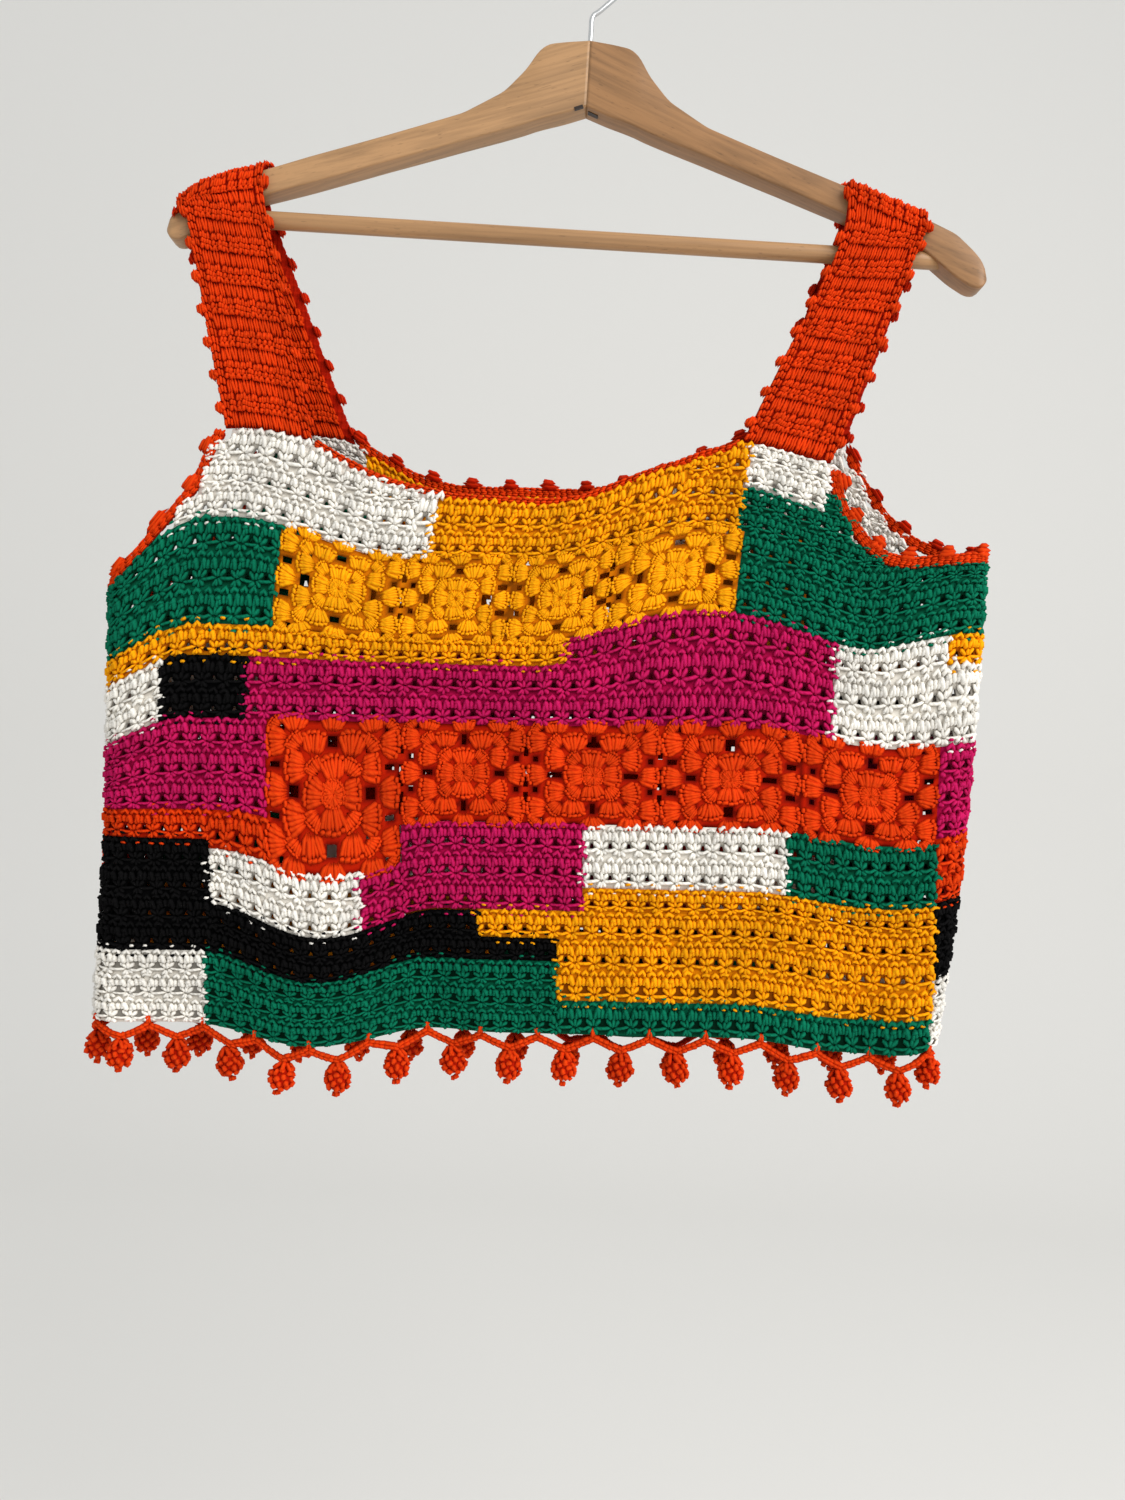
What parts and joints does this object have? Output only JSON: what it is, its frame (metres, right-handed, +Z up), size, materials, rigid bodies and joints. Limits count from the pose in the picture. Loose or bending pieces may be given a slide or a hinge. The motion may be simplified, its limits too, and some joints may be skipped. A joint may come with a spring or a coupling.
{
  "type": "crochet top on a wooden hanger",
  "caption": "Sleeveless crochet top in colour blocks with wide straps and a bobble hem, hung on a wooden hanger with a trouser bar and a wire hook.",
  "frame": {"origin": "the inside top of the hook's bend, where a rail or wall hook carries the hanger", "axes": "+Z up; the front of the top faces -Y; +X is to the viewer's right when facing the front"},
  "size_m": [0.4775, 0.0637, 0.6541],
  "materials": {
    "colour_block_yarn": "open crochet in cotton yarn, colour blocks of white, yellow, green, magenta, orange and black",
    "yellow_yarn": "matt cotton yarn, square motifs",
    "orange_yarn": "matt cotton yarn, close upright stitches",
    "beech": "clear lacquered beech, satin",
    "steel_wire": "bright zinc-plated wire"
  },
  "bodies": {
    "root": {"armhole_edging_left": "orange_yarn", "armhole_edging_right": "orange_yarn", "back_bobble_01": "orange_yarn", "back_bobble_02": "orange_yarn", "back_bobble_03": "orange_yarn", "back_bobble_04": "orange_yarn", "back_bobble_05": "orange_yarn", "back_bobble_06": "orange_yarn", "back_bobble_07": "orange_yarn", "back_bobble_08": "orange_yarn", "back_bobble_09": "orange_yarn", "back_bobble_10": "orange_yarn", "back_bobble_11": "orange_yarn", "back_bobble_12": "orange_yarn", "back_bobble_13": "orange_yarn", "back_bobble_14": "orange_yarn", "back_bobble_15": "orange_yarn", "back_bobble_16": "orange_yarn", "back_hem_chain": "orange_yarn", "back_orange_strip": "orange_yarn", "back_panel": "colour_block_yarn", "back_yellow_strip": "yellow_yarn", "front_bobble_01": "orange_yarn", "front_bobble_02": "orange_yarn", "front_bobble_03": "orange_yarn", "front_bobble_04": "orange_yarn", "front_bobble_05": "orange_yarn", "front_bobble_06": "orange_yarn", "front_bobble_07": "orange_yarn", "front_bobble_08": "orange_yarn", "front_bobble_09": "orange_yarn", "front_bobble_10": "orange_yarn", "front_bobble_11": "orange_yarn", "front_bobble_12": "orange_yarn", "front_bobble_13": "orange_yarn", "front_bobble_14": "orange_yarn", "front_bobble_15": "orange_yarn", "front_bobble_16": "orange_yarn", "front_hem_chain": "orange_yarn", "front_orange_strip": "orange_yarn", "front_panel": "colour_block_yarn", "front_yellow_strip": "yellow_yarn", "hanger_arm_left": "beech", "hanger_arm_right": "beech", "hook": "steel_wire", "neck_edging_back": "orange_yarn", "neck_edging_front": "orange_yarn", "strap_left": "orange_yarn", "strap_right": "orange_yarn", "trouser_bar": "beech"}
  },
  "joints": []
}
